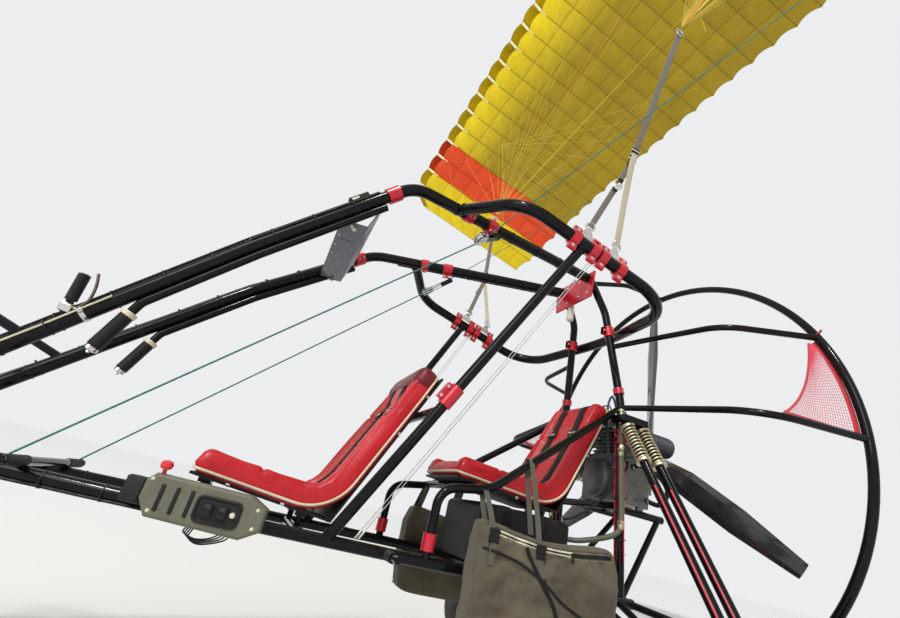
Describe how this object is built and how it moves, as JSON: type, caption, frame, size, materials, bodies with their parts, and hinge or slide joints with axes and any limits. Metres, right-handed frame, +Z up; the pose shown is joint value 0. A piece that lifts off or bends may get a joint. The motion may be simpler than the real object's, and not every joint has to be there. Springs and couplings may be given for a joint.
{
  "type": "two-seat powered parachute",
  "caption": "Tandem tube-frame buggy on three wheels with a pusher propeller in a ring cage, held under an inflated ram-air canopy by risers and lines.",
  "frame": {"origin": "middle of the whole part's length and width, on the floor", "axes": "-X the way it travels, +Y to its right-hand side, +Z up"},
  "size_m": [6.2302, 11.6564, 9.0472],
  "materials": {
    "black_composite": "polished",
    "black_plastic": "moulded",
    "black_tube": "gloss powder coat",
    "blue_cover": "polished",
    "canopy_red": "ripstop cloth",
    "canopy_yellow": "ripstop cloth",
    "cast_alloy": "satin",
    "engine_alloy": "cast",
    "exhaust_steel": "heat stained",
    "grey_panel": "satin",
    "olive_canvas": "woven canvas",
    "pale_lens": "satin",
    "pulley_steel": "bright",
    "red_clamp": "red anodised",
    "red_net": "open mesh",
    "red_vinyl": "grained vinyl",
    "spring_steel": "plated",
    "tan_webbing": "webbing",
    "teal_rope": "braided rope",
    "tyre": "rubber",
    "yellow_line": "braided line"
  },
  "bodies": {
    "frame": {"air_intake": "blue_cover", "cage_ribs": "black_tube", "canopy_bands": "canopy_red", "canopy_lower": "canopy_yellow", "canopy_ribs": "canopy_yellow", "canopy_upper": "canopy_yellow", "cross_panel": "grey_panel", "engine": "engine_alloy", "engine_bed": "black_tube", "exhaust": "exhaust_steel", "foot_bar": "black_tube", "foot_pegs": "black_tube", "front_seat_cushion": "red_vinyl", "front_seat_shell": "black_plastic", "fuel_tank": "black_plastic", "gear_legs": "black_tube", "gusset_lamp": "pale_lens", "halo_hoop": "black_tube", "hand_grips": "black_plastic", "lower_frame": "black_tube", "mast_gusset": "red_clamp", "masts": "black_tube", "nose_bars": "black_tube", "prop_ring": "black_tube", "pulley_hangers": "black_tube", "pulley_wheels": "pulley_steel", "rear_seat_cushion": "red_vinyl", "rear_seat_shell": "black_plastic", "ring_nets": "red_net", "riser_clamps": "red_clamp", "riser_links": "pulley_steel", "risers": "tan_webbing", "saddle_bags": "olive_canvas", "seat_bars": "black_tube", "seat_rails": "black_tube", "side_console": "black_plastic", "springs": "spring_steel", "steering_lines": "teal_rope", "struts": "black_tube", "suspension_lines": "yellow_line", "swing_arms": "black_tube", "tube_clamps": "red_clamp", "upper_tubes": "black_tube"},
    "nose_wheel": {"nose_tyre": "tyre", "nose_rim": "cast_alloy"},
    "steering": {"nose_fork": "black_tube"},
    "wheel_left": {"tyre_left": "tyre", "rim_left": "cast_alloy"},
    "wheel_right": {"tyre_right": "tyre", "rim_right": "cast_alloy"},
    "propeller": {"propeller": "black_composite"}
  },
  "joints": [
    {"name": "nose_steer", "type": "hinge", "parent": "frame", "child": "steering", "pos_m": [-2.87009, 0, 0.5], "axis": [0, 0, 1], "range_deg": [-35, 35]},
    {"name": "nose_wheel_spin", "type": "hinge", "parent": "steering", "child": "nose_wheel", "pos_m": [-2.91509, 0, 0.2], "axis": [0, 1, 0], "continuous": true},
    {"name": "wheel_left_spin", "type": "hinge", "parent": "frame", "child": "wheel_left", "pos_m": [-0.18509, -0.96, 0.265], "axis": [0, 1, 0], "continuous": true},
    {"name": "wheel_right_spin", "type": "hinge", "parent": "frame", "child": "wheel_right", "pos_m": [-0.18509, 0.96, 0.265], "axis": [0, 1, 0], "continuous": true},
    {"name": "propeller_spin", "type": "hinge", "parent": "frame", "child": "propeller", "pos_m": [0.06491, 0, 1.19], "axis": [1, 0, 0], "continuous": true}
  ]
}
